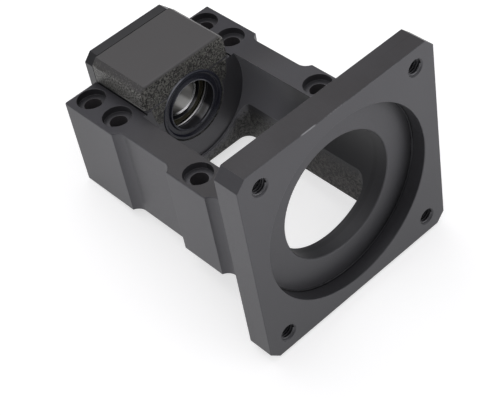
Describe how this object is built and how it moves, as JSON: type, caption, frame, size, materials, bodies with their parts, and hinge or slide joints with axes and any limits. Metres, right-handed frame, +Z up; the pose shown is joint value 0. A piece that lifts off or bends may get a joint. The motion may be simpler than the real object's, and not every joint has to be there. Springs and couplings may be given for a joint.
{
  "type": "motor mount bracket",
  "caption": "Cast motor mount bracket with a square flange, two bolting rails round a coupling space, and a sealed bearing block for a screw shaft.",
  "frame": {"origin": "where the bearing axis meets the flange's motor face", "axes": "+X along the bearing axis out towards the motor, +Y across the rails, +Z up away from the machine bed"},
  "size_m": [0.1135, 0.0874, 0.085],
  "materials": {
    "cast_iron_oxide": "black oxide, satin where machined, coarse and matt where cast",
    "cover_oxide": "black oxide, ground",
    "screw_steel": "black oxide",
    "seal_rubber": "matt moulded rubber",
    "bearing_steel": "ground and polished",
    "ball_steel": "polished",
    "cage_resin": "moulded resin"
  },
  "bodies": {
    "bracket": {"bracket_body": "cast_iron_oxide", "bearing_cover": "cover_oxide", "cover_screw_1": "screw_steel", "cover_screw_2": "screw_steel", "cover_screw_3": "screw_steel", "cover_screw_4": "screw_steel", "front_oil_seal": "seal_rubber", "rear_oil_seal": "seal_rubber", "front_outer_ring": "bearing_steel", "rear_outer_ring": "bearing_steel"},
    "front_inner": {"front_inner_ring": "bearing_steel"},
    "front_cage": {"front_ball_cage": "cage_resin", "front_ball_01": "ball_steel", "front_ball_02": "ball_steel", "front_ball_03": "ball_steel", "front_ball_04": "ball_steel", "front_ball_05": "ball_steel", "front_ball_06": "ball_steel", "front_ball_07": "ball_steel", "front_ball_08": "ball_steel", "front_ball_09": "ball_steel", "front_ball_10": "ball_steel", "front_ball_11": "ball_steel", "front_ball_12": "ball_steel"},
    "rear_inner": {"rear_inner_ring": "bearing_steel"},
    "rear_cage": {"rear_ball_cage": "cage_resin", "rear_ball_01": "ball_steel", "rear_ball_02": "ball_steel", "rear_ball_03": "ball_steel", "rear_ball_04": "ball_steel", "rear_ball_05": "ball_steel", "rear_ball_06": "ball_steel", "rear_ball_07": "ball_steel", "rear_ball_08": "ball_steel", "rear_ball_09": "ball_steel", "rear_ball_10": "ball_steel", "rear_ball_11": "ball_steel", "rear_ball_12": "ball_steel"}
  },
  "joints": [
    {"name": "front_bearing_spin", "type": "hinge", "parent": "bracket", "child": "front_inner", "pos_m": [-0.0925, 0, 0], "axis": [1, 0, 0], "continuous": true},
    {"name": "front_cage_spin", "type": "hinge", "parent": "bracket", "child": "front_cage", "pos_m": [-0.0925, 0, 0], "axis": [1, 0, 0], "continuous": true},
    {"name": "rear_bearing_spin", "type": "hinge", "parent": "bracket", "child": "rear_inner", "pos_m": [-0.1015, 0, 0], "axis": [1, 0, 0], "continuous": true},
    {"name": "rear_cage_spin", "type": "hinge", "parent": "bracket", "child": "rear_cage", "pos_m": [-0.1015, 0, 0], "axis": [1, 0, 0], "continuous": true}
  ],
  "couplings": [
    {"joint": "front_cage_spin", "follows": "front_bearing_spin", "ratio": 0.4115},
    {"joint": "rear_cage_spin", "follows": "rear_bearing_spin", "ratio": 0.4115}
  ]
}
